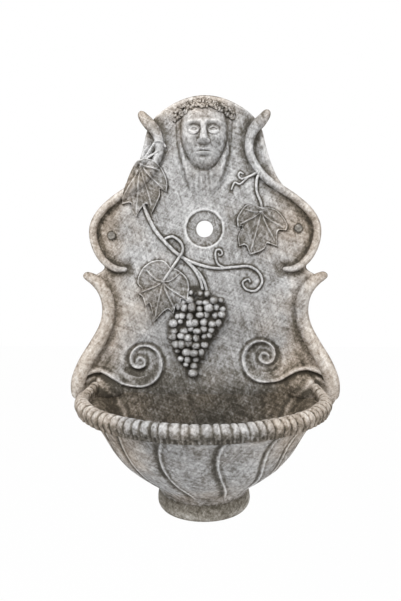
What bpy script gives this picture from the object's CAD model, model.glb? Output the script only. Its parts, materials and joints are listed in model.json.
"""Looks of a wall-hung garden sink in antiqued cast stone: carved back panel, lobed bowl and drain.

Shapes are worked out in millimetres as (x, depth, height): x runs to the viewer's right from the middle
line, depth runs out from the wall and height is counted from the underside of the foot. to_frame() turns
them into the frame's metres, where the wall is y = 0 and the sink stands out towards -Y.

Every stone surface also carries a tone for each point: above 0 where the antique finish is rubbed pale,
as on ridges, and below 0 where the dark wash stays, as in grooves. stone_finish() reads it.
"""

import json
import math

import bmesh
import bpy
import numpy as np
from mathutils import Matrix, Vector

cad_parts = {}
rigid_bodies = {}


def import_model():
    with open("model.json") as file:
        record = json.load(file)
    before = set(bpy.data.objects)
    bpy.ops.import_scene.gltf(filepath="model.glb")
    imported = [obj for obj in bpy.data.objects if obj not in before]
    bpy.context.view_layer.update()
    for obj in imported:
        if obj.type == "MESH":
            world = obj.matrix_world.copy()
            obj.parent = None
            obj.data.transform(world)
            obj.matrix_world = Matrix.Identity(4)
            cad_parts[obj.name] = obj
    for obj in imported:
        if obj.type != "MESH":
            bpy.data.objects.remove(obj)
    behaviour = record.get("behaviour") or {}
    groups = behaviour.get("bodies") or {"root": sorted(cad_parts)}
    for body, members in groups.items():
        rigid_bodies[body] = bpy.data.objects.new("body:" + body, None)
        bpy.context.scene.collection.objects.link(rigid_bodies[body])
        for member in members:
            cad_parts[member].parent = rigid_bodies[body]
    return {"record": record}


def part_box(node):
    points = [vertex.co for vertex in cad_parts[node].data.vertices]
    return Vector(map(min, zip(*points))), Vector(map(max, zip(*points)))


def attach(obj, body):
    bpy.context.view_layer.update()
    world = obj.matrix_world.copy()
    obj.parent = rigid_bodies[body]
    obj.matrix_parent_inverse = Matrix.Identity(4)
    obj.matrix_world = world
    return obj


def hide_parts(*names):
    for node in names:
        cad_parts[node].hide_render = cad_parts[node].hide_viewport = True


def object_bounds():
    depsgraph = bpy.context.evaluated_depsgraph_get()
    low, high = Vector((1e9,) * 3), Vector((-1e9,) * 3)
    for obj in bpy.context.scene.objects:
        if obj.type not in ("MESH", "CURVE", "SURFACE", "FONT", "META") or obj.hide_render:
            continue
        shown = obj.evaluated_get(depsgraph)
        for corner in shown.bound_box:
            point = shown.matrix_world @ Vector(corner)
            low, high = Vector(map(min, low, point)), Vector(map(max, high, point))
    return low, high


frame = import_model()
cad_low, cad_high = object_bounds()

MM = 0.001
RIM_Z = -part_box("foot_collar")[0].z / MM
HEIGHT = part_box("back_panel")[1].z / MM + RIM_Z
# Depth of the panel's flat, and the gap that the solids keep between two pieces
FIELD = 22
GAP = 0.3
# Lower corners: they flare forward from FLARE_START outwards and from FLARE_TOP down
FLARE_DEPTH, FLARE_START, FLARE_RUN = 36, 158, 62
FLARE_TOP, FLARE_FALL = 330, 130
# Cove between panel and basin, deeper in the corners
COVE_DEPTH, COVE_TOP, COVE_FALL = 19.7, 266, 86
CORNER_START, CORNER_RUN = 147, 36
EDGE_ROUNDING = 8
ARCH_START = 560
# The panel's grid is finer between these heights
SCROLLS_LOW, SCROLLS_HIGH, PANEL_COLUMNS = 180, 284, 245

# Half outline of the panel (x, height), from its bottom to where a horn meets the top arch
PANEL_EDGE = (
    (70, 42), (104, 62), (130, 86), (150, 114), (166, 142), (196, 150), (226, 158), (236, 172), (236, 192),
    (234, 216), (216, 254), (198, 290), (187, 326), (190, 352), (202, 374), (205, 388), (188, 400), (186, 410),
    (200, 434), (209, 462), (207, 482), (192, 508), (160, 534), (136, 560), (120, 592), (110, 624), (104, 650),
    (96, 664), (86, 675),
)
# Rolled mouldings (x, height, radius), from the tip of a horn
UPPER_ROLL = (
    (114.5, 682, 6), (107, 671, 9), (97.5, 660, 10.5), (87, 648, 9.5), (80.5, 631, 8), (80.5, 609, 7.5),
    (92, 585, 7), (112.5, 561.5, 7), (137, 545, 7), (163, 527.5, 7), (187, 506, 7), (200.5, 483, 7),
    (202, 459, 7), (194, 434, 7), (180.5, 415, 6.5), (161, 403, 6), (141, 402, 3.5),
)
LOWER_ROLL = (
    (222, 391, 6), (212, 389, 8.5), (199, 381, 10.5), (186, 366, 11.5), (178, 346, 12), (176.5, 322, 12),
    (183, 294, 12.5), (198, 264, 13), (214, 236, 13), (225, 208, 13), (228, 188, 12), (229, 170, 8),
)
# Fold that sweeps from each end of the rope into the basin (distance from the middle, height, radius)
FOLD = (
    (214, 203, 3), (202, 207, 3.5), (189, 203, 4), (174, 191, 4), (161, 175, 4), (149, 154, 4), (139, 128, 4),
)
SCROLL_INNER, SCROLL_OUTER, SCROLL_TURNS = 8.5, 41, 1.7
# Each scroll's side, eye (x, height) and the tail that runs from its bottom to the corner
SCROLLS = (
    (1, 109, 240, ((134, 202), (150, 211), (168, 220), (190, 223), (212, 217), (229, 204))),
    (-1, 118, 231, ((146, 194), (164, 205), (180, 214), (197, 219), (215, 214), (230, 203))),
)
TAP_Z, TAP_SEAT_RADIUS, TAP_HOLE_RADIUS = HEIGHT - 235, 33, 15.5
SCREW_POCKET, SCREW_POCKET_DEPTH = 7.6, 6
# Stems (x, height, radius): the vine with its shoot, curl and two grape stems, and the upper leaves' stems
VINE = (
    (-110, 520, 3), (-102, 499, 3.4), (-89, 473, 3.5), (-67, 447, 3.5), (-46, 428, 3.3), (-20, 414, 3),
    (18, 404, 2.7), (54, 406, 2.6), (80, 407, 2.5), (98, 396, 2.4), (104, 378, 2.3), (92, 363, 2.2),
    (75, 366, 2), (69, 378, 1.9), (79, 384, 1.8), (83, 378, 1.6),
)
SHOOT = (
    (-72, 457, 2.2), (-57, 461, 2.3), (-42, 450, 2.4), (-39, 435, 2.5), (-48, 420, 2.6), (-61, 401, 2.6),
    (-75, 381, 2.2),
)
GRAPE_STEM = ((-40, 424, 2.4), (-22, 406, 2.7), (-9, 386, 2.8), (-3, 364, 2.6))
GRAPE_STEM_TWIN = ((-36, 420, 2.2), (-12, 398, 2.5), (0, 378, 2.6), (5, 358, 2.4))
CURL = (
    (36, 405, 2), (25, 411, 2), (20, 424, 1.9), (21, 436, 1.8), (29, 437, 1.7), (32, 430, 1.6), (27, 427, 1.5),
    (25, 431, 1.3),
)
RIGHT_STEM = ((98, 576, 2.4), (93, 558, 2.6), (94, 539, 2.4), (101, 521, 2.4), (103, 506, 2.2))
TENDRIL = ((96, 575, 2.2), (80, 567, 2), (67, 563, 1.9), (61, 568, 1.8), (64, 574, 1.7), (70, 571, 1.4))
TENDRIL_END = ((77, 565, 1.8), (64, 554, 1.7), (54, 556, 1.6), (48, 543, 1.3))
LEFT_RING = (
    (-68, 619, 2.2), (-74, 627, 2.4), (-85, 629, 2.4), (-91, 623, 2.4), (-101, 608, 2.4), (-113, 593, 2.2),
)
LEFT_STEM = ((-80, 612, 2), (-93, 606, 2.2), (-106, 598, 2.2), (-114, 590, 2))
# Leaves: name, stalk point (x, height), edge as (direction in degrees from +X, reach, 1 at a pointed tip),
# direction of the middle vein and every vein as (direction, length)
LEAVES = (
    (
        "leaf_left",
        (-113, 592),
        (
            (-153, 16, 0), (-130, 37, 0), (-120, 62, 0), (-116, 80, 1), (-105, 73, 0), (-101, 87, 0),
            (-96, 96, 1), (-91, 81, 0), (-82, 73, 0), (-78.7, 92, 1), (-61, 68, 0), (-54, 57, 0),
            (-48.8, 69, 1), (-36, 58, 0), (-20, 42, 0), (0, 27, 0), (30, 14, 0), (90, 6, 0), (160, 8, 0),
        ),
        -94,
        ((-96, 92), (-117, 76), (-50, 64), (-76, 80), (-22, 38)),
    ),
    (
        "leaf_right",
        (102.6, 505.7),
        (
            (148, 20, 0), (162, 31, 0), (-165, 45, 0), (-147.4, 51, 1), (-141, 44, 0), (-133, 61, 0),
            (-123, 74, 1), (-115, 67, 0), (-104.7, 80, 1), (-93, 72, 0), (-85, 66, 0), (-80, 58, 0),
            (-66.4, 68, 1), (-51, 46, 0), (-37.6, 56, 1), (-27, 51, 0), (-6, 32, 0), (18, 17, 0), (85, 6, 0),
        ),
        -105,
        ((-105, 77), (-66, 62), (-149, 47), (-38, 50), (174, 34)),
    ),
    (
        "leaf_middle",
        (-75, 381),
        (
            (-177, 47, 0), (-159, 41, 0), (-153, 51, 1), (-142, 48, 0), (-125, 57, 1), (-121, 48, 0),
            (-103, 75, 1), (-83, 52, 0), (-72.6, 62, 1), (-60, 49, 0), (-52, 63, 1), (-45, 46, 0), (-36, 56, 1),
            (-11, 48, 0), (10, 42, 0), (39, 33, 0), (60, 28, 0), (78, 33, 0), (95, 38, 0), (122, 41, 0),
            (152, 44, 0),
        ),
        -104,
        ((-103, 72), (-153, 48), (-37, 53), (146, 40), (24, 36), (-68, 56)),
    ),
)
# Rows of grapes (height, middle x, count)
GRAPE_ROWS = (
    (358, -10, 3), (345, -3, 6), (332, -7, 7), (319, -10, 7), (306, -15, 7), (293, -19, 6), (280, -23, 6),
    (267, -26, 5), (254, -28, 4), (241, -28, 3), (229, -25, 2), (217, -22, 1),
)
GRAPE_SPREAD = 13.6
# Outline (x, height) of the core behind the grapes
GRAPE_CORE = (
    (-30, 350), (24, 344), (28, 316), (10, 282), (-14, 240), (-22, 216), (-36, 226), (-50, 280), (-50, 316),
)


def ease(value, start=0, end=1):
    """Goes from 0 to 1 with level ends as the value goes from start to end, up or down."""
    t = np.clip((value - start) / (end - start), 0, 1)
    return t * t * (3 - 2 * t)


def bump(value, middle=0, width=1):
    """A bell that is 1 at the middle and close to 0 beyond two widths."""
    return np.exp(-(((value - middle) / width) ** 2))


def dome(value):
    """A round cap that is 1 at 0 and meets 0 steeply at 1."""
    return np.sqrt(np.clip(1 - value**2, 0, 1))


def curve_through(points, count):
    """Points at even steps on the Catmull-Rom curve through the given points, with any number of columns."""
    p = np.array(points, float)
    p = np.vstack([2 * p[0] - p[1], p, 2 * p[-1] - p[-2]])
    spans = len(p) - 3
    t = np.linspace(0, spans, count)
    k = np.minimum(t.astype(int), spans - 1)
    u = (t - k)[:, None]
    a, b, c, d = p[k], p[k + 1], p[k + 2], p[k + 3]
    return 0.5 * (2 * b + (c - a) * u + (2 * a - 5 * b + 4 * c - d) * u**2 + (3 * b - a - 3 * c + d) * u**3)


def distance_to(path, x, z):
    """Distance of every point to a path of (x, height, radius), the path's radius there and the side."""
    best = np.full(np.shape(x), 1e9)
    radius = np.zeros(np.shape(x))
    side = np.zeros(np.shape(x))
    for a, b in zip(path[:-1], path[1:]):
        along = b[:2] - a[:2]
        share = ((x - a[0]) * along[0] + (z - a[1]) * along[1]) / max(along @ along, 1e-9)
        share = np.clip(share, 0, 1)
        dx, dz = x - a[0] - share * along[0], z - a[1] - share * along[1]
        gap = dx * dx + dz * dz
        nearer = gap < best
        best = np.where(nearer, gap, best)
        radius = np.where(nearer, a[2] + share * (b[2] - a[2]), radius)
        side = np.where(nearer, np.sign(along[0] * dz - along[1] * dx), side)
    return np.sqrt(best), radius, side


def scroll_path(eye_x, eye_z, tail):
    """A spiral that opens quickly in its middle part, from the eye to its bottom, then on along the tail."""
    turn = np.linspace(0, 1, 30)
    angle = math.radians(274) - 2 * math.pi * SCROLL_TURNS * (1 - turn)
    radius = SCROLL_INNER + (SCROLL_OUTER - SCROLL_INNER) * ease(turn, 0.356, 0.928)
    x, z = eye_x + radius * np.cos(angle), eye_z + radius * np.sin(angle)
    spiral = np.column_stack([x, z, 1.2 + 0.9 * turn])
    tail = np.array([(*point, 2.2 + 0.45 * n) for n, point in enumerate(tail)])
    return curve_through(np.vstack([spiral, tail]), 170)


def middle_of(node):
    """The middle (x, height) of one of the frame's solids."""
    near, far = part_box(node)
    return 0.5 * (near.x + far.x) / MM, 0.5 * (near.z + far.z) / MM + RIM_Z


UPPER = curve_through(UPPER_ROLL, 90)
LOWER = curve_through(LOWER_ROLL, 50)
SCROLL_PATHS = {side: scroll_path(x, z, tail) for side, x, z, tail in SCROLLS}
SCREWS = [middle_of("wall_screw_left"), middle_of("wall_screw_right")]


def plain_front(x, z):
    """Depth of the panel without its carving: nearly flat, flared at the lower corners, coved at the basin."""
    away = np.abs(x)
    flare = FLARE_DEPTH * ease((away - FLARE_START) / FLARE_RUN) * ease((FLARE_TOP - z) / FLARE_FALL)
    corner = 0.95 * np.clip(away - CORNER_START, 0, CORNER_RUN) * ease(z, 232, 184)
    cove = (COVE_DEPTH + corner) * ease((COVE_TOP - z) / COVE_FALL) * ease(away, 226, 186)
    cove = cove * ease(z, 150, 178)
    dish = -4 * bump(away, 160, 36) * bump(z, 468, 44)
    crown = 3 * bump(away / 90) * ease(z, 260, 340)
    return FIELD - 2 + np.maximum(flare, cove) + dish + crown


def roll_rise(x, z, more=0):
    """Height of the rolled mouldings above the panel, as round ridges widened by more."""
    away = np.abs(x)
    rise = np.zeros(np.shape(away))
    for path in (UPPER, LOWER):
        d, radius, _ = distance_to(path, away, z)
        rise = np.maximum(rise, (radius + more) * dome(d / (radius + more)))
    return rise


def by_side(x, measure):
    """The measure of the scroll on each point's own side of the middle line."""
    right, left = measure(SCROLL_PATHS[1]), measure(SCROLL_PATHS[-1])
    return [np.where(x >= 0, a, b) for a, b in zip(right, left)]


def panel_depth(x, z):
    """Depth of the carved panel: the plain front with grooves, dished scrolls, folds and the tap's seat."""
    away = np.abs(x)
    depth = plain_front(x, z)
    for path, groove, width in ((UPPER, 3.8, 11), (LOWER, 2.8, 11)):
        d, radius, _ = distance_to(path, away, z)
        depth -= groove * bump((d - radius - 1) / width)
    roll_x = np.interp(z, [560, 585, 609, 631, 649, 665], [112, 92, 80, 80, 86, 97])
    outside = ease(away - roll_x, 4, 12) * ease(z, 552, 572)
    depth -= 4 * outside * ease(z, 690, 665)
    d, radius, side = by_side(x, lambda path: distance_to(path, away, z))
    below = ease(0.5 - 0.5 * side) * ease(away, 96, 118) * ease(z, 228, 214)
    depth -= 6 * below * ease(z, 190, 206) * bump(d / 16)
    depth += 2.6 * bump(d / 5)
    depth -= 2.6 * bump(d - radius, 3.2, 3.4) * (0.35 + 0.65 * ease(0.5 - 0.5 * side))
    for way, eye_x, eye_z, _ in SCROLLS:
        eye = np.hypot(x - way * eye_x, z - eye_z)
        depth -= 3.4 * ease((SCROLL_OUTER - 4 - eye) / 9)
    d, radius, _ = distance_to(np.array(FOLD, float), away, z)
    depth += 0.35 * radius * bump(d / (1.3 * radius)) * ease(z, 176, 196)
    seat = np.hypot(x, z - TAP_Z)
    depth -= 2.6 * ease((TAP_SEAT_RADIUS - seat) / 1.6)
    depth += 0.9 * bump(seat - TAP_SEAT_RADIUS, 1.8, 1.4)
    return depth


def box_mean(values, reach, axis):
    """Mean over 2 * reach + 1 neighbours along one way of a grid, with its border repeated."""
    moved = np.moveaxis(values, axis, 0)
    padded = np.pad(moved, [(reach + 1, reach)] + [(0, 0)] * (moved.ndim - 1), mode="edge")
    total = np.cumsum(padded, 0)
    width = 2 * reach + 1
    return np.moveaxis((total[width:] - total[:-width]) / width, 0, axis)


def stands_out(values, reach, size):
    """How far a grid of heights stands out of its own blur, as a share of size and at most 1 either way."""
    blurred = values
    for _ in range(2):
        blurred = box_mean(box_mean(blurred, reach, 0), reach, 1)
    return np.clip((values - blurred) / size, -1, 1)


def quads(rows, columns, wrap_rows=False, wrap_columns=False):
    """Faces of a grid of points stored row by row; a wrapped way joins its last line to its first."""
    i = np.arange(rows if wrap_rows else rows - 1)
    j = np.arange(columns if wrap_columns else columns - 1)
    i, j = np.meshgrid(i, j, indexing="ij")
    a = i * columns + j
    b = i * columns + (j + 1) % columns
    c = ((i + 1) % rows) * columns + (j + 1) % columns
    d = ((i + 1) % rows) * columns + j
    return np.stack([a, b, c, d], -1).reshape(-1, 4)


def grid_border(rows, columns):
    """Numbers of the points round the border of a grid, in order."""
    border = list(range(columns)) + [i * columns + columns - 1 for i in range(1, rows)]
    border += [(rows - 1) * columns + j for j in range(columns - 2, -1, -1)]
    return border + [i * columns for i in range(rows - 2, 0, -1)]


def rod_faces(rows, sides):
    """Faces of a closed rod made of rings: its side and both ends."""
    faces = quads(rows, sides, wrap_columns=True).tolist()
    return faces + [list(range(sides)), list(range((rows - 1) * sides, rows * sides))]


def circle(count):
    """Angles at even steps round a circle."""
    return np.linspace(0, 2 * math.pi, count, endpoint=False)


def new_object(name, data):
    """An object of the scene."""
    item = bpy.data.objects.new(name, data)
    bpy.context.scene.collection.objects.link(item)
    return item


def to_frame(points):
    """Points (x, depth, height) in millimetres as (x, y, z) in the frame's metres."""
    p = np.asarray(points, float).reshape(-1, 3)
    return np.column_stack([p[:, 0], -p[:, 1], p[:, 2] - RIM_Z]) * MM


class Shape:
    """Gathers the points, faces and tones of one piece."""

    def __init__(self):
        self.points, self.faces, self.tones, self.total = [], [], [], 0

    def add(self, points, faces, tone=0):
        points = np.asarray(points, float).reshape(-1, 3)
        self.faces += [[self.total + int(i) for i in face] for face in faces]
        self.points.append(points)
        self.tones.append(np.broadcast_to(np.asarray(tone, float).reshape(-1), (len(points),)))
        self.total += len(points)

    def finish(self, name, finish, node, slot="cast_stone"):
        """Makes the mesh, turns its faces outwards and lets it stand for the node on the sink's body."""
        mesh = bpy.data.meshes.new(name)
        mesh.from_pydata(to_frame(np.vstack(self.points)).tolist(), [], self.faces)
        made = bmesh.new()
        made.from_mesh(mesh)
        bmesh.ops.recalc_face_normals(made, faces=made.faces)
        made.to_mesh(mesh)
        made.free()
        mesh.shade_smooth()
        mesh.set_sharp_from_angle(angle=math.radians(60))
        tone = mesh.attributes.new("tone", "FLOAT", "POINT")
        tone.data.foreach_set("value", np.concatenate(self.tones).astype(np.float32))
        mesh.materials.append(finish)
        piece = new_object(name, mesh)
        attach(piece, "sink")
        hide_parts(node)
        return piece


def tube(path, depth, sides=16, flat=1):
    """A round rod along a path of (x, height, radius) at the given depths, with domed ends, and its tones.

    The tone rises to the crest that faces the viewer and falls to the foot of the rod.
    """
    tangent = np.gradient(path[:, :2], axis=0)
    rise = np.gradient(depth)
    length = np.sqrt((tangent**2).sum(1) + rise**2)
    tangent /= np.maximum(np.hypot(tangent[:, 0], tangent[:, 1]), 1e-9)[:, None]
    across = np.column_stack([-tangent[:, 1], tangent[:, 0]])
    angle = np.arange(sides) * 2 * math.pi / sides
    along = np.cumsum(length)
    left = np.minimum(along - along[0], along[-1] - along)
    radius = path[:, 2] * dome(1 - np.clip(left / path[:, 2], 0.02, 1))
    side = radius[:, None] * np.cos(angle)
    up = radius[:, None] * np.sin(angle) * flat
    x, z = path[:, :1] + across[:, :1] * side, path[:, 1:2] + across[:, 1:] * side
    points = np.stack([x, depth[:, None] + up, z], -1)
    tone = 0.62 * ease(np.sin(angle), 0.05, 0.85) - 0.95 * ease(np.sin(angle), 0.15, -0.55)
    return points.reshape(-1, 3), rod_faces(len(path), sides), np.tile(tone, len(path))


def mirrored(points, side):
    """The points as they are, or reflected in the middle line."""
    turned = np.array(points, float)
    turned[:, 0] *= side
    return turned


def panel_grid():
    """The panel's grid: each row spans the outline, closer where the scrolls are, and rises into the arch."""
    edge = curve_through(PANEL_EDGE, 900)
    low, high = edge[0, 1], edge[-1, 1]
    steps = ((low, SCROLLS_LOW, 1.9), (SCROLLS_LOW, SCROLLS_HIGH, 1.25), (SCROLLS_HIGH, high, 1.75))
    heights = np.concatenate([np.arange(*step) for step in steps] + [[high]])
    half = np.interp(heights, edge[:, 1], edge[:, 0])
    share = np.linspace(-1, 1, PANEL_COLUMNS)
    rise = (HEIGHT - high) * ease((heights - ARCH_START) / (high - ARCH_START))
    return half[:, None] * share, heights[:, None] + rise[:, None] * (1 - share**2), half


def fold_tone(x, z):
    """Tone of the fold at each end of the rope: pale along its crest and dark on both sides."""
    d, _, _ = distance_to(np.array(FOLD, float), np.abs(x), z)
    return 0.3 * bump(d / 2.2) - 0.4 * bump(d, 7, 4.5)


def panel_tone(x, z, depth):
    """Tone of the panel: its own ridges and hollows, dirt round the applied relief, and the darker basin."""
    away = np.abs(x)
    carved = 0.4 * stands_out(depth, 2, 0.9) + 0.4 * stands_out(depth, 8, 4)
    tone = 0.12 + carved * ease(z, 188, 198)
    tone = tone - 0.22 * ease(z, 655, 690)
    dirt = [0.78 * ease(z, 268, 184) * ease(away, 214, 174)]
    for path in (VINE, SHOOT, GRAPE_STEM, GRAPE_STEM_TWIN, CURL, RIGHT_STEM, TENDRIL, TENDRIL_END):
        d, radius, _ = distance_to(curve_through(path, 30), x, z)
        dirt.append(1.15 * bump(np.maximum(d - radius, 0) / 3.2))
    for _, base, outline, _, _ in LEAVES:
        dx, dz = x - base[0], z - base[1]
        gap = np.hypot(dx, dz) - leaf_reach(outline, np.arctan2(dz, dx))
        dirt.append(0.95 * bump(np.maximum(gap, 0) / 3.8))
    half = np.interp(z, [209, 221, 245, 278, 302, 334, 348, 366], [6, 12, 23, 39, 48, 44, 36, 16])
    middle = np.interp(z, [209, 245, 278, 302, 334, 366], [-21, -29, -25, -16, -6, -14])
    gap = np.maximum(np.abs(x - middle) - half, 0) + np.maximum(207 - z, 0) + np.maximum(z - 368, 0)
    dirt.append(0.95 * bump(gap / 6))
    for path, share in ((UPPER, 0.46 + 0.34 * ease(away, 125, 170)), (LOWER, 0.34)):
        d, radius, _ = distance_to(path, away, z)
        dirt.append(share * bump(np.maximum(d - radius, 0) / 12))
    d, radius, side = by_side(x, lambda path: distance_to(path, away, z))
    under = 0.25 + 0.35 * ease(0.5 - 0.5 * side)
    dirt.append(under * bump(np.maximum(d - radius - 0.6, 0) / 4))
    for way, eye_x, eye_z, _ in SCROLLS:
        dirt.append(0.3 * ease((SCROLL_OUTER - np.hypot(x - way * eye_x, z - eye_z)) / 12))
    seat = np.hypot(x, z - TAP_Z)
    dirt.append(0.12 * ease((TAP_SEAT_RADIUS - seat) / 1.5))
    dirt.append(0.5 * bump(seat - TAP_SEAT_RADIUS, -1.4, 1.2))
    dirt.append(0.55 * bump((seat - TAP_HOLE_RADIUS) / 1.8))
    for screw_x, screw_z in SCREWS:
        dirt.append(0.8 * bump((np.hypot(x - screw_x, z - screw_z) - SCREW_POCKET) / 1.8))
    rim = 0.35 * bump(seat - TAP_SEAT_RADIUS, 1.5, 1.1)
    corner = 0.38 * bump(np.hypot((away - 188) / 15, (z - 196) / 15))
    return tone - np.maximum.reduce(dirt) + rim + fold_tone(x, z) - corner


def back_panel(stone):
    """The front as a relief over the grid, rounded at the outline, with side walls, a back and the tap hole."""
    x, z, half = panel_grid()
    rows, columns = x.shape
    depth = panel_depth(x, z)
    reach = np.minimum(half[:, None] - np.abs(x), z[-1:] - z + 0.2)
    depth = depth - EDGE_ROUNDING * (1 - dome(1 - np.clip(reach / EDGE_ROUNDING, 0, 1)))
    tone = panel_tone(x, z, depth)
    for screw_x, screw_z in SCREWS:
        depth = np.where(np.hypot(x - screw_x, z - screw_z) < SCREW_POCKET, FIELD - SCREW_POCKET_DEPTH, depth)
    from_tap = np.hypot(x, z - TAP_Z).reshape(-1)
    faces = quads(rows, columns)
    open_face = (from_tap[faces] < TAP_HOLE_RADIUS).any(1)
    edge_of_hole = np.intersect1d(faces[open_face], faces[~open_face])
    front = np.stack([x, depth, z], -1).reshape(-1, 3)
    turn = np.arctan2(front[edge_of_hole, 2] - TAP_Z, front[edge_of_hole, 0])
    loop = edge_of_hole[np.argsort(turn)]
    turn = np.sort(turn)
    front[loop, 0] = TAP_HOLE_RADIUS * np.cos(turn)
    front[loop, 2] = TAP_Z + TAP_HOLE_RADIUS * np.sin(turn)
    border = grid_border(rows, columns)
    wall, bore = front[border].copy(), front[loop].copy()
    wall[:, 1], bore[:, 1] = 0, 0
    count, around, total = len(border), len(loop), rows * columns
    n, m = np.arange(count), np.arange(around)
    border = np.array(border)
    side_faces = np.stack([border, np.roll(border, -1), total + np.roll(n, -1), total + n], -1)
    hole = total + count + m
    bore_faces = np.stack([loop, np.roll(loop, -1), np.roll(hole, -1), hole], -1)
    low_middle, high_middle = columns // 2, (columns - 1) + (rows - 1) + columns // 2
    rim = (total + n).tolist()
    first, last = int(np.argmin(np.abs(turn + math.pi / 2))), int(np.argmin(np.abs(turn - math.pi / 2)))
    hole = hole.tolist()
    right_back = rim[low_middle : high_middle + 1] + hole[first : last + 1][::-1]
    left_back = rim[high_middle:] + rim[: low_middle + 1] + hole[: first + 1][::-1] + hole[last:][::-1]
    used = np.vstack([front, wall, bore])
    kept = faces[~open_face].tolist() + side_faces.tolist() + bore_faces.tolist() + [right_back, left_back]
    tones = np.concatenate([tone.reshape(-1), np.full(count, -0.3), np.full(around, -0.4)])
    needed = np.unique(np.concatenate([np.array(face) for face in (faces[~open_face].reshape(-1), rim, hole)]))
    renumber = np.zeros(len(used), dtype=int)
    renumber[needed] = np.arange(len(needed))
    shape = Shape()
    shape.add(used[needed], [renumber[face] for face in kept], tones[needed])
    return shape.finish("stone_panel", stone, "back_panel")


def rolls(stone):
    """The rolled edges with narrow pale crests and dark horn tips, and the thin ridges of the scrolls."""
    sides = 24
    shape = Shape()
    for side in (-1, 1):
        for path, lift, flat in ((UPPER_ROLL, 0.6, 1), (LOWER_ROLL, 0, 0.8)):
            fine = curve_through(path, 14 * len(path))
            points, faces, tone = tube(fine, plain_front(fine[:, 0], fine[:, 1]) + lift, sides, flat)
            crest = np.tile(bump(np.arange(sides) / (sides / 2) * math.pi, 1.25, 0.33), len(fine))
            tip = np.repeat(ease(1 - np.arange(len(fine)) / (0.24 * len(fine))), sides)
            shape.add(mirrored(points, side), faces, 0.58 * tone - 0.12 + 0.3 * crest - 0.3 * tip)
        fine = SCROLL_PATHS[side]
        points, faces, tone = tube(fine, panel_depth(side * fine[:, 0], fine[:, 1]) - 0.6, sides=12, flat=1.35)
        shape.add(mirrored(points, side), faces, 0.85 * tone)
    return shape.finish("stone_rolls", stone, "back_panel")


def leaf_reach(outline, heading):
    """Reach of a leaf from its stalk point in every heading: smooth along the edge, cornered at the tips."""
    table = np.array(outline, float)
    turn = np.radians(table[:, 0])
    spots = table[:, 1:2] * np.column_stack([np.cos(turn), np.sin(turn)])
    corners = [n for n, point in enumerate(outline) if point[2]]
    fine = []
    for first, last in zip(corners, corners[1:] + [corners[0] + len(outline)]):
        fine.append(curve_through(spots[np.arange(first, last + 1) % len(outline)], 12 * (last - first)))
    fine = np.vstack(fine)
    way = np.degrees(np.arctan2(fine[:, 1], fine[:, 0]))
    return np.interp(np.degrees(heading), way, np.hypot(fine[:, 0], fine[:, 1]), period=360)


def leaf(name, base, outline, middle_way, veins, stone):
    """A leaf as a relief over rings about its stalk point, with a raised rim and veins; it drapes over rolls.

    Each side vein starts close to the middle one and bends out to its own direction, reached at its tip.
    """
    around, rings = 720, 44
    heading = np.linspace(-math.pi, math.pi, around, endpoint=False)
    share = np.linspace(0, 1, rings + 1)[1:, None]
    edge = leaf_reach(outline, heading)[None, :]
    reach = edge * share
    x = base[0] + reach * np.cos(heading)
    z = base[1] + reach * np.sin(heading)
    inward = edge - reach
    height = 4.8 + 1.6 * np.sin(math.pi * share) + bump(inward, 1, 1.2)
    tone = -0.2 + 0.82 * bump(inward, 0.8, 1.1) - 0.3 * bump(inward, 4, 2.2)
    for way, length in veins:
        lean = (middle_way - way + 180) % 360 - 180
        bent = way + 0.42 * lean * (1 - np.clip(reach / length, 0, 1)) ** 2
        turn = heading - np.radians(bent)
        off, along = reach * np.sin(turn), reach * np.cos(turn)
        on = ease(along / 5) * ease((length - along) / 6)
        line, beside = bump(off / 0.95), bump(np.abs(off), 3.4, 2.2)
        height = height + on * (1.3 * line - 1.1 * beside)
        tone = tone + on * (0.7 * line - 0.28 * beside)
        feather = (along - 1.25 * np.abs(off)) % 14 - 7
        small = on * ease(np.abs(off), 10, 5) * ease(np.abs(off), 1, 3)
        height = height + small * 0.45 * bump(feather / 0.9)
        tone = tone + small * 0.3 * bump(feather / 0.8)
    ground = plain_front(x, z) + 0.85 * roll_rise(x, z, 4)
    if name == "leaf_middle":
        ground = ground + 15 * ease(x, -62, -36) * ease(z, 372, 350)
    depth = ground + height
    points = np.stack([x, depth, z], -1).reshape(-1, 3)
    low = np.column_stack([x[-1], np.minimum(plain_front(x[-1], z[-1]), depth[-1]) - 2, z[-1]])
    centre = [[base[0], float(depth[0].mean()), base[1]]]
    middle = rings * around + around
    faces = quads(rings + 1, around, wrap_columns=True).tolist()
    faces += [[j, (j + 1) % around, middle] for j in range(around)]
    faces.append([rings * around + j for j in range(around)])
    shape = Shape()
    tones = np.concatenate([tone.reshape(-1), np.full(around, -1.2), [0.4]])
    shape.add(np.vstack([points, low, centre]), faces, tones)
    return shape.finish("stone_" + name, stone, name)


def stems(stone):
    """The creeping stem and its branches as rods half sunk in the panel, lifted where they cross a roll."""
    groups = (
        ("vine", (VINE, SHOOT, GRAPE_STEM, GRAPE_STEM_TWIN, CURL)),
        ("leaf_stem", (RIGHT_STEM, LEFT_RING, LEFT_STEM)),
        ("tendril", (TENDRIL, TENDRIL_END)),
    )
    for node, paths in groups:
        shape = Shape()
        for path in paths:
            fine = curve_through(path, 16 * len(path))
            depth = plain_front(fine[:, 0], fine[:, 1]) + 0.5 * fine[:, 2] + 0.6
            depth = depth + roll_rise(fine[:, 0], fine[:, 1])
            lifted = 5 * ease(fine[:, 2], 2, 2.4) if path is SHOOT else 0
            fine[:, 2] *= 0.92
            points, faces, tone = tube(fine, depth + lifted, sides=12)
            shape.add(points, faces, 0.85 * tone)
        shape.finish("stone_" + node, stone, node)


def ball(subdivisions):
    """Points and faces of a ball of radius 1 made of triangles."""
    made = bmesh.new()
    bmesh.ops.create_icosphere(made, subdivisions=subdivisions, radius=1)
    points = np.array([v.co[:] for v in made.verts])
    faces = [[v.index for v in f.verts] for f in made.faces]
    made.free()
    return points, faces


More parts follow.
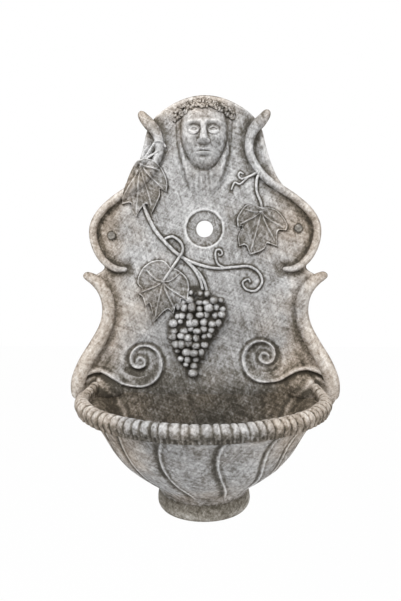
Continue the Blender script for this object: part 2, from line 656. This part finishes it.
def grapes(stone):
    """Rows of grapes on a core; size, place and depth vary, and the front of each is rubbed pale."""
    chance = np.random.default_rng(11)
    unit, faces = ball(3)
    shape = Shape()
    for z, middle, count in GRAPE_ROWS:
        for n in range(count):
            offset = n - (count - 1) / 2
            radius = chance.uniform(5.8, 9.3)
            x = middle + GRAPE_SPREAD * offset + chance.uniform(-3, 3)
            fall = 8 * (offset / max(count / 2, 1)) ** 2
            depth = FIELD + 9 - fall + radius + chance.uniform(-1.5, 1.5)
            wide, tall = 1 + chance.uniform(-0.16, 0.18), 1 + chance.uniform(-0.2, 0.16)
            size = np.array([wide, 0.95, tall]) * radius
            points = unit * size + [x, depth, z + chance.uniform(-2.8, 2.8)]
            front = unit[:, 1] - 0.18 * unit[:, 0] + 0.12 * unit[:, 2]
            tone = 0.46 * ease(front, 0.74, 0.98) - 1.05 * ease(front, 0.7, 0.2)
            tone = tone + chance.uniform(-0.22, 0.12)
            shape.add(points, faces, tone)
    core = np.array(GRAPE_CORE, float)
    around = len(core)
    low = np.column_stack([core[:, 0], np.full(around, FIELD - 2), core[:, 1]])
    high = np.column_stack([core[:, 0], np.full(around, FIELD + 12), core[:, 1]])
    shape.add([low, high], rod_faces(2, around), -1.2)
    return shape.finish("stone_grapes", stone, "grape_bunch")


HEAD_Z, HEAD_HALF_WIDTH, HEAD_HALF_HEIGHT, HEAD_DEPTH = 641, 42, 65, 37
MASK_LOW, MASK_HIGH, MASK_BORDER = 522, 703, 15
WREATH_Z, WREATH_FALL, WREATH_HALF_WIDTH, WREATH_COUNT = 691, 21, 53, 125
# Groove between the outer fold of the hair and the face (distance from the middle line, height)
HAIR_LINE = ((51, 672, 0), (49.5, 640, 0), (46, 610, 0), (38.5, 583, 0), (32, 560, 0), (27, 536, 0))


def mask_relief(x, z):
    """Height of a calm, general head: an egg with even features set out on the usual thirds and fifths."""
    h = (z - HEAD_Z) / HEAD_HALF_HEIGHT
    u = x / HEAD_HALF_WIDTH
    away = np.abs(u)
    narrow = 1 - 0.19 * ease(-h * 1.1)
    e = (away / narrow) ** 2.4 + np.abs(h) ** 2.4
    height = HEAD_DEPTH * np.clip(1 - e, 0, 1) ** 0.62
    brow_line = h - 0.2 - 0.05 * np.cos(3 * (away - 0.42))
    brow = 3.4 * bump(brow_line / 0.06) * ease(away, 0.86, 0.61) * ease(away, -0.02, 0.12)
    socket = -8.5 * bump(away, 0.38, 0.25) * bump(h, 0.055, 0.13)
    eyeball = 6.4 * dome(np.hypot((away - 0.4) / 0.25, (h - 0.03) / 0.135))
    slit = (away - 0.4) / 0.19
    lid_high, lid_low = 0.062 * (1 - slit**2), -0.04 * (1 - slit**2)
    opening = ease((lid_high - (h - 0.03)) / 0.016) * ease(((h - 0.03) - lid_low) / 0.016)
    opening = opening * (np.abs(slit) < 1)
    over_lid = h - 0.03 - 0.115 * np.clip(1 - slit**2 / 1.6, 0, 1)
    crease = -1.3 * bump(over_lid / 0.016) * (np.abs(slit) < 1.15)
    heights = [-0.37, -0.33, -0.29, -0.24, 0, 0.13, 0.24, 0.34]
    nose_rise = np.interp(h, heights, [0, 5, 11.5, 14, 9.5, 5.5, 3, 0])
    nose_width = np.interp(h, [-0.34, -0.24, -0.1, 0.1, 0.3], [0.16, 0.15, 0.115, 0.1, 0.18])
    nose = nose_rise * bump((u / nose_width) ** 2 * 0.8)
    wing = 5 * dome(np.hypot((away - 0.17) / 0.1, (h + 0.275) / 0.06))
    cheek = 3.2 * bump(away, 0.56, 0.26) * bump(h, -0.12, 0.15)
    cheek = cheek - 2 * bump(away, 0.52, 0.2) * bump(h, -0.44, 0.16)
    fold = -1 * bump((away - 0.3 - 0.35 * (-0.3 - h)) / 0.05) * bump(h, -0.4, 0.1)
    bow = 0.016 * np.cos(u / 0.28 * math.pi)
    upper_lip = 3.4 * bump(u / 0.25) * bump((h + 0.468 + bow) / 0.04)
    lower_lip = 4.2 * bump(u / 0.21) * bump(h, -0.566, 0.046)
    mouth = -2.6 * bump(u / 0.27) * bump((h + 0.515 + 0.05 * away) / 0.016)
    groove = -1.9 * bump(u / 0.26) * bump(h, -0.655, 0.04)
    chin = 4.4 * bump(u / 0.28) * bump(h, -0.79, 0.12)
    face = brow + socket + eyeball - 1.5 * opening + crease + nose + wing + cheek + fold
    face = face + upper_lip + lower_lip + mouth + groove + chin
    return height + face * ease((1 - e) * 2.6), e


def mask(stone):
    """The head under its wreath, with hair that falls in broad soft folds past the chin."""
    columns, rows = 220, 330
    share = np.linspace(-1, 1, columns)[None, :]
    z = np.linspace(MASK_LOW, MASK_HIGH, rows)[:, None] + 0 * share
    half = np.interp(z, [522, 532, 550, 580, 620, 660, 684, 703], [10, 22, 36, 49, 56, 56, 48, 27])
    x = half * share
    away = np.abs(x)
    height, e = mask_relief(x, z)
    edge = np.minimum(half - away, np.minimum(z - MASK_LOW, MASK_HIGH - z))
    border = ease(edge / MASK_BORDER)
    fall = ease(z, 526, 588)
    lock = np.sin((away - 0.19 * (z - 600)) * 0.36 + 0.9) + 0.22 * np.sin(away * 0.95 + z * 0.05)
    hair = fall * (4 + 10 * ease(away, 56, 22) + 1.7 * lock)
    hair = hair * ease(e, 0.84, 1.06)
    relief = 0.5 * (height + hair + np.sqrt((height - hair) ** 2 + 46 * ease((height + hair) / 12)))
    temple = bump(e, 1.02, 0.2) * ease(z, 566, 580)
    fine, _, way = distance_to(curve_through(HAIR_LINE, 24), away, z)
    relief = relief - 2.2 * fall * bump(fine / 3.4)
    strand = bump(away / 24) * bump(z, 556, 17) * np.sin(away * 0.72 + 0.03 * z)
    line_tone = 0.28 * bump(fine, 6.5, 2.6) * ease(0.5 + 0.5 * way) - 0.52 * bump(fine / 3.2)
    line_tone = line_tone * ease(z, 530, 554) * ease(z, 684, 668) + 0.3 * strand
    garland = WREATH_Z - WREATH_FALL * (x / WREATH_HALF_WIDTH) ** 2
    under_wreath = ease(z - garland, -12, -8) * ease((WREATH_HALF_WIDTH + 4 - away) / 8)
    ground = plain_front(x, z)
    depth = ground - 1.2 + (relief + 1.2) * border
    tone = 0.08 + 0.42 * stands_out(relief, 2, 0.9) + 0.35 * stands_out(relief, 7, 3.2)
    tone = tone + 0.45 * stands_out(relief, 16, 6)
    tone = np.clip(tone, -0.5, 0.5) * (1 - 0.85 * temple) - 0.22 * temple - 0.85 * under_wreath + line_tone
    tone = 0.12 + (tone - 0.12) * border
    points = np.stack([x, depth, z], -1).reshape(-1, 3)
    rim = grid_border(rows, columns)
    low = points[rim].copy()
    low[:, 1] -= 3
    total, count = len(points), len(rim)
    faces = quads(rows, columns).tolist()
    faces += [[rim[n], rim[(n + 1) % count], total + (n + 1) % count, total + n] for n in range(count)]
    faces.append([total + n for n in range(count)])
    shape = Shape()
    shape.add(np.vstack([points, low]), faces, np.concatenate([tone.reshape(-1), np.full(count, -0.2)]))
    wreath(shape, x, z, depth)
    return shape.finish("stone_mask", stone, "mask")


def wreath(shape, grid_x, grid_z, grid_depth):
    """A garland of small leaves and berries: flattened balls strewn along a bow over the brow, on the head."""
    chance = np.random.default_rng(23)
    unit, faces = ball(2)
    for n in range(WREATH_COUNT):
        x = WREATH_HALF_WIDTH * (2 * (n + 0.5) / WREATH_COUNT - 1)
        lean = (x / WREATH_HALF_WIDTH) ** 2
        z = WREATH_Z - WREATH_FALL * lean + chance.uniform(-10.5, 9.5) * (1 - 0.25 * lean)
        turn, long, short = chance.uniform(0, math.pi), chance.uniform(3.2, 6.2), chance.uniform(2, 3.3)
        row = int(np.argmin(np.abs(grid_z[:, 0] - z)))
        column = int(np.argmin(np.abs(grid_x[row] - x)))
        a, b = unit[:, 0] * long, unit[:, 2] * short
        middle = grid_depth[row, column] + chance.uniform(0.4, 4.6)
        along, up = x + a * math.cos(turn) - b * math.sin(turn), z + a * math.sin(turn) + b * math.cos(turn)
        points = np.column_stack([along, middle + 2.6 * unit[:, 1], up])
        tone = 0.62 * ease(unit[:, 1], 0.66, 0.94) - 1.25 * ease(unit[:, 1], 0.7, 0.1)
        shape.add(points, faces, tone + chance.uniform(-0.4, 0.1))


# Ridges between the bowl's lobes: their directions at the rim and at the foot, in degrees from +X
RIDGES = (
    (-8, -8), (8, 5), (20, 12), (34, 21), (50, 35), (77, 61), (104, 95), (127, 119), (139, 134), (152, 148),
    (166, 160), (188, 188),
)
BOWL_PROFILE = (
    (28, 75), (40, 82), (52, 96), (66, 114), (86, 136), (112, 155), (146, 173), (165, 185), (178.7, 199),
)
ROPE_RADIUS, ROPE_END_RADIUS, ROPE_RIBS = 13, 8.5, 56
RIM_SIDE_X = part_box("rope_rim")[1].x / MM - ROPE_RADIUS
RIM_CENTRE_DEPTH, FOOT_CENTRE_DEPTH = 109, 98
BOWL_LOW, BOWL_TOP, BASIN_FLOOR, BOWL_WALL = 28, 178.7, 50, 17
DRAIN_HOLE, DRAIN_SEAT = 23, 34
ROPE_STRAIGHT = RIM_CENTRE_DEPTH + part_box("rope_rim")[1].y / MM


def bowl_half(z):
    """Half width of the bowl at a height, on a smooth curve that ends under the rope's middle line."""
    fine = curve_through(BOWL_PROFILE, 200)
    more = ease((z - 140) / (BOWL_TOP - 140)) * (RIM_SIDE_X - 3 - BOWL_PROFILE[-1][1])
    return np.interp(z, fine[:, 0], fine[:, 1]) + more


def bowl_outline(z, angle, inset, lobed):
    """A point of the bowl for a height and an angle: half circle in front, straight sides, flat back."""
    share = ease((z - BOWL_LOW) / (BOWL_TOP - BOWL_LOW))
    half = bowl_half(z) - inset
    centre = FOOT_CENTRE_DEPTH + (RIM_CENTRE_DEPTH - FOOT_CENTRE_DEPTH) * share
    room = centre - FIELD - GAP - inset
    square = 1 - 0.72 * share
    cosine, sine = np.cos(angle), np.sin(angle)
    out = half + lobed * lobes(z, angle)[0]
    back_x = half * np.sign(cosine) * np.abs(cosine) ** square
    back_depth = np.minimum(half, room) * np.abs(sine) ** square
    x = np.where(sine >= 0, out * cosine, back_x)
    depth = np.where(sine >= 0, centre + out * sine, centre - back_depth)
    past_flare = np.clip(np.abs(x) - 150, 0, 36)
    return x, np.maximum(depth, FIELD + GAP + past_flare + inset)


def lobes(z, angle):
    """Height and tone of the lobes: each swells between two ridges, which bow out on their way down."""
    down = np.clip((BOWL_TOP - z) / (BOWL_TOP - BOWL_LOW), 0, 1)
    bow = 0.17 * math.sin(math.pi * down**0.8)
    wrapped = (angle + math.pi / 2) % (2 * math.pi) - math.pi / 2
    swell, tone = np.zeros(np.shape(angle)), np.zeros(np.shape(angle))
    for (a, b), (c, d) in zip(np.radians(RIDGES[:-1]), np.radians(RIDGES[1:])):
        low, high = a + (b - a) * down + bow, c + (d - c) * down + bow
        u = (wrapped - low) / (high - low)
        inside = (u >= 0) & (u < 1)
        span = (high - low) * bowl_half(z)
        edge = np.minimum(u, 1 - u) * span
        rise = 5 * dome(2 * u - 1) ** 0.8 - 5
        bead = bump(edge / 1.5)
        hollow = bump(u * span, 7, 4.5)
        swell = np.where(inside, rise + 3.4 * bead - 1.6 * hollow, swell)
        tone = np.where(inside, 1.1 * bead - 0.75 * hollow - 0.45 * bump(edge, 4, 3) + 0.05, tone)
    fade = ease(np.sin(angle) * 5) * ease(z, 32, 58)
    return swell * fade, tone * fade


def bowl(stone):
    """The bowl as one closed skin: lobed outside, rounded rim, plain basin and a round drain hole."""
    around = 440
    angle = circle(around)
    rings, tones = [], []

    def ring(x, depth, z, tone):
        rings.append(np.column_stack([x, depth, z + 0 * x]))
        tones.append(tone + np.zeros(around))

    for radius, z in ((DRAIN_HOLE, BASIN_FLOOR - 4), (DRAIN_HOLE, BOWL_LOW), (50, BOWL_LOW)):
        ring(radius * np.cos(angle), FOOT_CENTRE_DEPTH + radius * np.sin(angle), z, -0.5)
    for z in np.linspace(BOWL_LOW, BOWL_TOP, 130):
        x, depth = bowl_outline(z, angle, 0, 1)
        dirt = 0.2 * float(ease(z, 46, 30)) + 0.7 * float(ease(z, 166, 178))
        ring(x, depth, z, lobes(z, angle)[1] - dirt)
    for z in np.linspace(BOWL_TOP, BASIN_FLOOR + 6, 60):
        x, depth = bowl_outline(z, angle, BOWL_WALL, 0)
        ring(x, depth, z, fold_tone(x, z) - 0.64)
    x, depth = bowl_outline(BASIN_FLOOR + 6, angle, BOWL_WALL, 0)
    for share, z in ((0.93, BASIN_FLOOR + 2), (0.8, BASIN_FLOOR), (0.62, BASIN_FLOOR - 0.6)):
        ring(x * share, FOOT_CENTRE_DEPTH + (depth - FOOT_CENTRE_DEPTH) * share, z, -0.7)
    seat = BASIN_FLOOR - 2.3
    for radius, z in ((DRAIN_SEAT, BASIN_FLOOR - 0.8), (DRAIN_SEAT, seat), (DRAIN_HOLE, seat)):
        ring(radius * np.cos(angle), FOOT_CENTRE_DEPTH + radius * np.sin(angle), z, -0.9)
    shape = Shape()
    shape.add(rings, quads(len(rings), around, wrap_rows=True, wrap_columns=True), tones)
    return shape.finish("stone_bowl", stone, "bowl")


def rope(stone):
    """The ribbed roll: uneven blocks between grooves; its ends are thinner, turn in and rise a little.

    Its underside is drawn down to the bowl's top, so no light shows between them.
    """
    per_rib, sides = 12, 44
    count = ROPE_RIBS * per_rib + 1
    half_length = ROPE_STRAIGHT + 0.5 * math.pi * RIM_SIDE_X
    chance = np.random.default_rng(5)
    lengths = 1 + chance.uniform(-0.24, 0.24, ROPE_RIBS)
    joints = np.concatenate([[0], np.cumsum(lengths)]) / lengths.sum()
    step = np.linspace(0, ROPE_RIBS, count)[:, None]
    along = half_length * (2 * np.interp(step, np.arange(ROPE_RIBS + 1), joints) - 1)
    turn = np.clip(along / RIM_SIDE_X, -math.pi / 2, math.pi / 2)
    beyond = np.abs(along) - np.abs(turn) * RIM_SIDE_X
    curl = ease(np.abs(along) - half_length, -60, 0)
    x = (RIM_SIDE_X - 7 * curl) * np.sin(turn)
    depth = RIM_CENTRE_DEPTH + RIM_SIDE_X * np.cos(turn) - beyond
    thick = ROPE_END_RADIUS + (ROPE_RADIUS - ROPE_END_RADIUS) * ease((half_length - np.abs(along)) / 150)
    size = chance.uniform(-0.8, 0.3, ROPE_RIBS)[np.minimum(step.astype(int), ROPE_RIBS - 1)]
    angle = circle(sides)
    phase = (step + 0.1 * np.sin(angle)) % 1
    cut = ease(np.abs(2 * phase - 1), 0.42, 1)
    under = bump(np.sin(angle), -0.66, 0.2) * (np.cos(angle) > 0) * bump(phase, 0.5, 0.2)
    under = under * ease(np.cos(turn), 0.75, 0.95)
    radius = thick - 0.3 + size - 1.8 * cut - 2.8 * under
    reach = radius * np.cos(angle)
    height = RIM_Z - (ROPE_RADIUS - thick) + 8 * curl + radius * np.sin(angle)
    seat = BOWL_TOP - 0.3
    height = np.maximum(height + (seat - height) * ease(-np.sin(angle), 0.62, 0.78), seat)
    points = np.stack([x + np.sin(turn) * reach, depth + np.cos(turn) * reach, height], -1)
    crest = ease(np.sin(angle), -0.2, 0.7)
    tone = 0.26 * (1 - cut) * crest - 0.66 * cut**1.7 - 0.8 * under - 0.3 * (1 - crest)
    shape = Shape()
    shape.add(points, rod_faces(count, sides), tone)
    return shape.finish("stone_rope", stone, "rope_rim")


FOOT_PROFILE = ((46, 0), (71, 0), (76, 2), (79.2, 9), (79.4, 17), (78, 24), (75.5, 27.6))


def foot(stone):
    """The collar turned about the drain's axis, with a soft upper edge and a lightly uneven side."""
    profile = curve_through(FOOT_PROFILE, 60)
    profile = np.vstack([profile, [[FOOT_PROFILE[0][0], FOOT_PROFILE[-1][1]]]])
    around = 220
    angle = circle(around)
    side = ease(profile[:, 0], 60, 70)[:, None]
    uneven = side * (0.4 * np.sin(5 * angle + 0.6) * np.sin(profile[:, 1:2] * 0.2) - 0.4)
    radius = profile[:, :1] + uneven
    x, depth = radius * np.cos(angle), FOOT_CENTRE_DEPTH + radius * np.sin(angle)
    points = np.stack([x, depth, profile[:, 1:2] + 0 * radius], -1)
    tone = -0.08 - 0.15 * ease(points[..., 2], 20, 28) + 0.2 * bump(points[..., 2], 8, 5)
    shape = Shape()
    shape.add(points, quads(len(profile), around, wrap_rows=True, wrap_columns=True), tone)
    return shape.finish("stone_foot", stone, "foot_collar", "foot_stone")


class Nodes:
    """Short ways to add and join the nodes of a material or a world."""

    def __init__(self, owner):
        owner.use_nodes = True
        self.owner, self.tree = owner, owner.node_tree

    def feed(self, node, inputs):
        """Joins or sets the named inputs of a node."""
        for key, value in inputs.items():
            socket = node.inputs[key]
            if isinstance(value, bpy.types.NodeSocket):
                self.tree.links.new(value, socket)
            else:
                socket.default_value = (*value, 1) if socket.type == "RGBA" else value

    def add(self, kind, inputs, result, **settings):
        """Adds a node with its settings and inputs, and gives one of its results."""
        node = self.tree.nodes.new("ShaderNode" + kind)
        for name, value in settings.items():
            setattr(node, name, value)
        self.feed(node, inputs)
        return node.outputs[result]

    def place(self):
        return self.add("TexCoord", {}, "Object")

    def noise(self, scale, detail=4, roughness=0.55, distortion=0, place=None):
        """Even noise; scale is in cells for each metre."""
        inputs = {"Scale": scale, "Detail": detail, "Roughness": roughness, "Distortion": distortion}
        return self.add("TexNoise", {"Vector": place or self.place(), **inputs}, "Fac")

    def strokes(self, degrees, across, along):
        """Noise drawn out like brush strokes that lean by some degrees in the plane of the wall."""
        inputs = {"Rotation": (0, math.radians(degrees), 0), "Scale": (along, 3 * across, across)}
        place = self.add("Mapping", {"Vector": self.place(), **inputs}, "Vector", vector_type="TEXTURE")
        return self.noise(1, 5, 0.65, 0.5, place)

    def tone(self):
        return self.add("Attribute", {}, "Fac", attribute_name="tone")

    def math(self, operation, *values):
        return self.add("Math", dict(enumerate(values)), "Value", operation=operation)

    def total(self, first, *others):
        """The values added up."""
        for value in others:
            first = self.math("ADD", first, value)
        return first

    def times(self, value, share):
        return self.math("MULTIPLY", value, share)

    def about(self, value, middle, share):
        """How far the value is over the middle, times the share."""
        return self.times(self.math("SUBTRACT", value, middle), share)

    def span(self, value, low, high):
        """0 at or under low, 1 at or over high, smooth between."""
        inputs = {"Value": value, "From Min": low, "From Max": high}
        return self.add("MapRange", inputs, "Result", interpolation_type="SMOOTHSTEP")

    def mix(self, factor, a, b):
        return self.add("Mix", {"Factor": factor, "A": a, "B": b}, "Result", data_type="RGBA")

    def ramp(self, tone, colours):
        """The colour for a tone, from five colours for the tones -1, -0.5, 0, 0.4 and 1."""
        result = self.add("ValToRGB", {"Fac": self.math("MULTIPLY_ADD", tone, 0.5, 0.5)}, "Color")
        elements = result.node.color_ramp.elements
        for place in (0.25, 0.5, 0.7):
            elements.new(place)
        for spot, colour in zip(elements, colours):
            spot.color = (*colour, 1)
        return result

    def bump(self, height, distance, **under):
        return self.add("Bump", {"Height": height, "Distance": distance, **under}, "Normal")

    def surface(self, inputs):
        """Feeds the material's own shader and gives the material."""
        self.feed(self.tree.nodes["Principled BSDF"], inputs)
        return self.owner


def stone_finish(name, cool, warm, warmth, roughness=0.66):
    """Antiqued cast stone: brushed streaks, rubbed pale on ridges, dark wash in hollows, tan towards the edges.

    cool and warm are five colours each for ramp(); warmth is added to the share of warm.
    """
    n = Nodes(bpy.data.materials.new(name))
    x, high = (n.add("SeparateXYZ", {"Vector": n.place()}, way) for way in "XZ")
    strokes = n.total(n.strokes(20, 0.0042, 0.021), n.strokes(-48, 0.0036, 0.018))
    strokes = n.total(strokes, n.strokes(75, 0.0046, 0.024))
    rubbed = n.span(n.strokes(58, 0.002, 0.013), 0.59, 0.7)
    rubbed = n.total(rubbed, n.span(n.strokes(-30, 0.0018, 0.011), 0.6, 0.71))
    washed = n.span(n.strokes(-66, 0.003, 0.014), 0.6, 0.74)
    strokes = n.total(n.about(strokes, 1.5, 1.9), n.times(rubbed, 0.55), n.times(washed, -0.45))
    grit = n.noise(700, 3, 0.7)
    pit = n.times(n.span(n.noise(330, 2), 0.64, 0.72), -0.55)
    tone = n.total(n.tone(), strokes, n.about(n.noise(15, 3), 0.5, 1.25), n.about(grit, 0.5, 0.5), pit)
    patch, crown = n.about(n.noise(9, 3), 0.5, 2.2), n.times(n.span(high, 0.4, 0.5), 0.65)
    share = n.total(n.span(n.math("ABSOLUTE", x), 0.06, 0.22), patch, crown, warmth)
    colour = n.mix(n.span(share, 0.05, 1.05), n.ramp(tone, cool), n.ramp(tone, warm))
    inputs = {"Base Color": colour, "Roughness": roughness, "Specular IOR Level": 0.38}
    return n.surface({**inputs, "Normal": n.bump(grit, 0.0005, Normal=n.bump(strokes, 0.0009))})


def metal_finish(name, colour, roughness):
    """Dull metal with fine tarnish."""
    n = Nodes(bpy.data.materials.new(name))
    tone = n.mix(n.span(n.noise(160), 0.35, 0.7), colour, tuple(0.5 * c for c in colour))
    normal = n.bump(n.noise(900, 2), 0.0001)
    return n.surface({"Base Color": tone, "Metallic": 1, "Roughness": roughness, "Normal": normal})


def rubber_finish():
    """Matt black rubber with a fine grain."""
    n = Nodes(bpy.data.materials.new("black_rubber"))
    grain = n.mix(n.noise(300), (0.02, 0.02, 0.02), (0.05, 0.05, 0.05))
    return n.surface({"Base Color": grain, "Roughness": 0.75})


def dress_cad(finishes):
    """Gives each carried-over solid the finish of its slot."""
    slots = {part["node"]: part["material_slot"] for part in frame["record"]["subparts"]}
    for item in bpy.data.objects:
        finish = finishes.get(slots.get(item.name))
        if item.type == "MESH" and finish:
            for slot in item.material_slots:
                slot.material = finish


# The camera's lens, its height over the foot's underside, and its yaw, pitch and lean in degrees
CAMERA_LENS, CAMERA_HEIGHT, CAMERA_TURN = 34.05, 437, (1.97, -5.09, -0.21)


def camera():
    """The photograph's viewing angle: close to the panel, a little below the tap, looking down a little."""
    data = bpy.data.cameras.new("view")
    data.lens = CAMERA_LENS
    item = new_object("view", data)
    yaw, pitch, lean = (math.radians(degrees) for degrees in CAMERA_TURN)
    turn = Matrix.Rotation(yaw, 4, "Z") @ Matrix.Rotation(math.pi / 2 + pitch, 4, "X")
    turn = turn @ Matrix.Rotation(lean, 4, "Z")
    item.matrix_world = Matrix.Translation((0.028, -1.052, (CAMERA_HEIGHT - RIM_Z) * MM)) @ turn
    bpy.context.scene.camera = item


def light(name, place, size, power, aim=(0, -0.1, 0.1)):
    """A square soft lamp that points at the sink."""
    data = bpy.data.lights.new(name, "AREA")
    data.size = size
    data.energy = power
    item = new_object(name, data)
    item.location = place
    item.rotation_euler = (Vector(place) - Vector(aim)).to_track_quat("Z", "Y").to_euler()


def seen(n):
    """1 for camera, glossy and transmission rays, 0 for the rays that light the scene."""
    most = 0
    for ray in ("Is Camera Ray", "Is Glossy Ray", "Is Transmission Ray"):
        most = n.math("MAXIMUM", n.add("LightPath", {}, ray), most)
    return most


def blend(n, share, first, second, output):
    """Mixes two shaders into a material's or a world's output."""
    surface = n.add("MixShader", {"Fac": share, 1: first, 2: second}, "Shader")
    n.feed(n.tree.nodes[output], {"Surface": surface})


def white_world():
    """A soft grey glow on the object in front of a background that looks white."""
    world = bpy.data.worlds.new("studio")
    bpy.context.scene.world = world
    n = Nodes(world)
    glow = n.tree.nodes["Background"]
    n.feed(glow, {"Color": (0.95, 0.97, 1), "Strength": 0.55})
    white = n.add("Background", {"Color": (1, 1, 1)}, "Background")
    blend(n, seen(n), glow.outputs["Background"], white, "World Output")


def pale_floor():
    """A plain pale floor well under the sink; it looks nearly white and keeps a soft shadow."""
    mesh = bpy.data.meshes.new("floor")
    low = cad_low.z - 0.6
    mesh.from_pydata([(-5, -5, low), (5, -5, low), (5, 5, low), (-5, 5, low)], [], [(0, 1, 2, 3)])
    n = Nodes(bpy.data.materials.new("pale_floor"))
    n.surface({"Base Color": n.mix(n.noise(3), (0.86, 0.86, 0.86), (0.9, 0.9, 0.9)), "Roughness": 0.9})
    shader = n.tree.nodes["Principled BSDF"].outputs["BSDF"]
    blend(n, n.times(seen(n), 0.98), shader, n.add("Emission", {}, "Emission"), "Material Output")
    mesh.materials.append(n.owner)
    ground = new_object("floor", mesh)


def surroundings():
    """White surroundings with three soft lamps."""
    bpy.context.scene.view_settings.view_transform = "Standard"
    white_world()
    pale_floor()
    light("key", (-0.9, -1.5, 1.5), 0.7, 29)
    light("fill", (1.2, -1.4, 0.5), 1.2, 11)
    light("top", (0.1, -0.6, 1.8), 0.8, 8)


# Colours of the stones for the tones -1, -0.5, 0, 0.4 and 1
GREY = (
    (0.05, 0.043, 0.032), (0.14, 0.128, 0.108), (0.32, 0.312, 0.305), (0.5, 0.495, 0.49), (0.78, 0.77, 0.76),
)
TAN = (
    (0.055, 0.043, 0.028), (0.17, 0.136, 0.096), (0.375, 0.312, 0.255), (0.545, 0.478, 0.41),
    (0.79, 0.74, 0.68),
)
BROWN = (
    (0.045, 0.038, 0.026), (0.125, 0.108, 0.08), (0.26, 0.235, 0.195), (0.43, 0.4, 0.355), (0.72, 0.7, 0.66),
)


def main():
    stone = stone_finish("antiqued_stone", GREY, TAN, warmth=0)
    foot_stone = stone_finish("brown_stone", BROWN, TAN, warmth=-0.2, roughness=0.75)
    bowl_stone = stone_finish("antiqued_bowl_stone", GREY, TAN, warmth=0.34)
    steel = metal_finish("dull_steel", (0.3, 0.28, 0.25), 0.5)
    bright = metal_finish("satin_steel", (0.62, 0.62, 0.62), 0.3)
    brass = metal_finish("dull_brass", (0.52, 0.4, 0.2), 0.4)
    camera()
    surroundings()
    dress_cad({"steel": steel, "strainer_steel": bright, "brass": brass, "rubber": rubber_finish()})
    back_panel(stone)
    rolls(stone)
    mask(stone)
    for name, base, outline, middle_way, veins in LEAVES:
        leaf(name, base, outline, middle_way, veins, stone)
    stems(stone)
    grapes(stone)
    bowl(bowl_stone)
    rope(bowl_stone)
    foot(foot_stone)


main()
